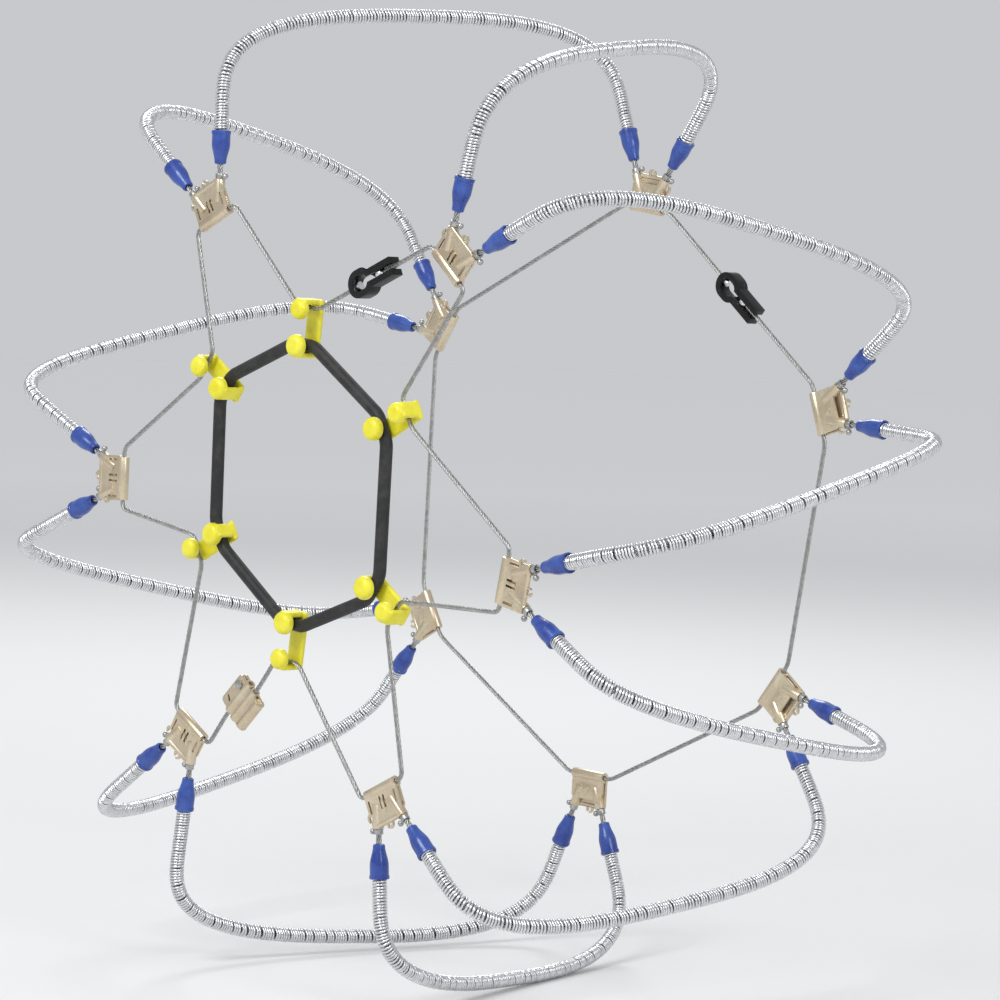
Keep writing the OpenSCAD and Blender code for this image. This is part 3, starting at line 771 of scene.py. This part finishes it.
# %% [markdown]
# # Stamped and cast metal
# The clamps, splice, fasteners and ferrules have their exact shape in the CAD model, but its edges
# are perfectly sharp, and a sharp edge never catches a highlight. A copy of each mesh is merged, its
# flat faces are joined up, and its edges get a small bevel, as pressing and plating leave them.

# %% Soften copies of the CAD pieces
PRESSED_EDGE, TURNED_EDGE, CAST_EDGE = 0.35 * MM, 0.4 * MM, 0.9 * MM


def softened(node, name, width, material, segments=2, least_angle=28):
    copy = bmesh.new()
    copy.from_mesh(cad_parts[node].data)
    bmesh.ops.remove_doubles(copy, verts=copy.verts, dist=1e-6)
    bmesh.ops.dissolve_limit(copy, angle_limit=math.radians(0.5), verts=copy.verts, edges=copy.edges)
    sharp = [
        e for e in copy.edges
        if len(e.link_faces) == 2 and e.calc_face_angle() > math.radians(least_angle)
    ]
    bmesh.ops.bevel(
        copy, geom=sharp, offset=width, segments=segments, profile=0.5,
        affect="EDGES", material=-1, clamp_overlap=True,
    )
    bmesh.ops.recalc_face_normals(copy, faces=copy.faces)
    return add_piece(name, copy, material, smooth_angle=32)


for i in range(1, PITCHES + 1):
    for side in ("outer", "inner"):
        clamp = softened(f"{side}_clamp_{i}", f"{side}_clamp_plate_{i}", PRESSED_EDGE, ZINC)
        place(clamp, "chain", "zinc_gold", f"{side}_clamp_{i}")
fold = softened("splice_plate", "splice_fold", PRESSED_EDGE, ZINC)
place(fold, "chain", "zinc_gold", "splice_plate")
rivet = softened("splice_rivet", "splice_rivet_head", TURNED_EDGE, GALVANISED)
place(rivet, "chain", "cable_steel", "splice_rivet")
for side in ("outer", "inner"):
    key = softened(f"{side}_fastener", f"{side}_keyhole", CAST_EDGE, BLACK, segments=3)
    place(key, f"fastener_{side}", "black_steel", f"{side}_fastener")
    ends = softened(f"{side}_ferrules", f"{side}_ferrule_set", TURNED_EDGE, GALVANISED)
    place(ends, "chain", "cable_steel", f"{side}_ferrules")
    for node in (f"{side}_ball_end", f"{side}_cable_stop"):
        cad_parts[node].data.materials.clear()
        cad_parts[node].data.materials.append(BRIGHT)
print("softened metal pieces")

# %% [markdown]
# # Hooks
# A hook is one moulding: a back that lies on the wheel side, a bridge over each end, and a round tip
# in front of the rubber ring and of the side cable. Moulded plastic has no hard inner corners, as
# they would crack. So the back, bridges and tips are built as simple solids, fused by a fine voxel
# remesh, and smoothed, which leaves the fillets that a mould would have.

# %% Shape one hook
def block(target, low, high, bevel):
    """A box between two corners, with its edges rounded."""
    low, high = Vector(low), Vector(high)
    size = high - low
    made = bmesh.ops.create_cube(target, size=1)
    verts = made["verts"]
    bmesh.ops.scale(target, vec=size, verts=verts)
    bmesh.ops.translate(target, vec=(low + high) / 2, verts=verts)
    edges = list(dict.fromkeys(e for v in verts for e in v.link_edges))
    bmesh.ops.bevel(
        target, geom=edges, offset=bevel, segments=4, profile=0.5,
        affect="EDGES", material=-1, clamp_overlap=True,
    )


def button(target, diameter, z):
    """A round tip in front of the ring, domed towards the front."""
    r = diameter / 2
    outline = [(0, 0), (r - TIP_HEEL, 0), (r, TIP_HEEL)]
    for i in range(DOME_STEPS + 1):
        a = math.radians(DOME_SWEEP * i / DOME_STEPS)
        outline.append((r - DOME_R + DOME_R * math.cos(a), TIP_T - DOME_R + DOME_R * math.sin(a)))
    outline.append((0, TIP_T))
    facing_front = Matrix.Translation((0, -HOOK_CHANNEL, z)) @ Matrix.Rotation(math.pi / 2, 4, "X")
    pour(lathe(outline, facing_front, steps=36, bored=False), target)


HOOK_CHANNEL = RING_D / 2 + RING_CLEAR
HOOK_NEAR = -HOOK_CHANNEL - HOOK_WALL
HOOK_FAR = HOOK_REACH + SIDE_D / 2 + FIT + HOOK_WALL
FRONT = -HOOK_CHANNEL - TIP_T / 2
BACK = HOOK_CHANNEL + HOOK_WALL
TIP_HEEL, DOME_R = 1.2 * MM, 5 * MM
DOME_SWEEP, DOME_STEPS = 80, 8
BACK_EDGE, BRIDGE_EDGE = 2.2 * MM, 1.6 * MM
VOXEL = 0.6 * MM

solids = bmesh.new()
block(solids, (-HOOK_W / 2, HOOK_CHANNEL, HOOK_NEAR), (HOOK_W / 2, BACK, HOOK_FAR), BACK_EDGE)
for width, z in ((RING_BRIDGE, HOOK_NEAR), (CABLE_BRIDGE, HOOK_FAR - HOOK_WALL)):
    block(solids, (-width / 2, FRONT, z), (width / 2, BACK, z + HOOK_WALL), BRIDGE_EDGE)
button(solids, RING_TIP_D, HOOK_NEAR + RING_TIP_D / 2)
button(solids, CABLE_TIP_D, HOOK_FAR - CABLE_TIP_D / 2)
rough_hook = add_piece("rough_hook", solids, YELLOW)
fuse = rough_hook.modifiers.new("fuse", "REMESH")
fuse.mode = "VOXEL"
fuse.voxel_size = VOXEL
shaped_hook = rough_hook.evaluated_get(bpy.context.evaluated_depsgraph_get())
fused = bpy.data.meshes.new_from_object(shaped_hook)
bpy.data.objects.remove(rough_hook)

# %% Place six hooks
SMOOTH_PASSES = 6

for j in range(PITCHES):
    hook_mesh = bmesh.new()
    hook_mesh.from_mesh(fused)
    for _ in range(SMOOTH_PASSES):
        bmesh.ops.smooth_vert(
            hook_mesh, verts=hook_mesh.verts, factor=0.5,
            use_axis_x=True, use_axis_y=True, use_axis_z=True,
        )
    turn = Matrix((hook_along(j), Vector((0, 1, 0)), hook_out(j))).transposed().to_4x4()
    bmesh.ops.transform(
        hook_mesh, matrix=Matrix.Translation(hook_point(j)) @ turn, verts=hook_mesh.verts
    )
    hook = add_piece(f"hook_moulding_{j + 1}", hook_mesh, YELLOW, smooth_angle=180)
    place(hook, f"hook_{j + 1}", "yellow_plastic", f"tensioner_hook_{j + 1}")
print("hooks", PITCHES, "faces in each", len(hook.data.polygons))

# %% [markdown]
# # Floor and light
# A pale floor and wide soft lights show bright wire without hard glare. The floor sits just below
# the lowest cable, and its colour is painted paler with distance, a painted brightening that stands in
# for light so that it meets the backdrop without a line.

# %% Floor and light
FLOOR_SIZE = 30
PALE_SCALE, PALE_FROM, PALE_TO = 0.1, 0.10, 0.75
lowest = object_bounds()[0][2]
floor_mesh = bmesh.new()
bmesh.ops.create_grid(floor_mesh, x_segments=1, y_segments=1, size=FLOOR_SIZE / 2)
bmesh.ops.translate(floor_mesh, vec=(0, 0, lowest), verts=floor_mesh.verts)
floor_shader = Shader("floor", Roughness=0.9)
distance = floor_shader.node(
    "ShaderNodeVectorMath", {"operation": "LENGTH"}, {0: floor_shader.place}, "Value"
)
# painted light: the floor's colour brightens with distance so that the far floor matches the backdrop
far = floor_shader.ramp(distance * PALE_SCALE, (PALE_FROM, 0), (PALE_TO, 1))
grit_and_painted_fade = floor_shader.noise(3, 2) * 0.04 + far
# a faint grit noise plus the painted brightening with distance
floor_shader.drive(Base_Color=floor_shader.mix(grit_and_painted_fade.clamped(), (0.76, 0.76, 0.76), (1.0, 1.0, 1.0)))
floor = add_piece("floor", floor_mesh, floor_shader.material)
floor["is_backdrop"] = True

world = bpy.data.worlds.new("studio")
bpy.context.scene.world = world
world.use_nodes = True
world.node_tree.nodes["Background"].inputs["Color"].default_value = (0.95, 0.97, 1.0, 1)
world.node_tree.nodes["Background"].inputs["Strength"].default_value = 0.60


def soft_light(name, place_at, size, power):
    light = bpy.data.lights.new(name, "AREA")
    light.shape = "SQUARE"
    light.size = size
    light.energy = power
    lamp = bpy.data.objects.new(name, light)
    bpy.context.collection.objects.link(lamp)
    lamp.location = place_at
    lamp.rotation_euler = Vector(place_at).to_track_quat("Z", "Y").to_euler()


soft_light("key", (0.4, -2.8, 2.4), 1.4, 72)
soft_light("fill", (3.2, -0.6, 1.4), 1.2, 30)
soft_light("rim", (-2.2, 2.0, 2.4), 1.2, 40)
bpy.context.scene.view_settings.view_transform = "Standard"
print("lights", 3)

# %% Print the sizes and finish
visual_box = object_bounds()
for label, box in (("cad", cad_box), ("visual", visual_box)):
    print(label, [[round(x, 3) for x in corner] for corner in box])
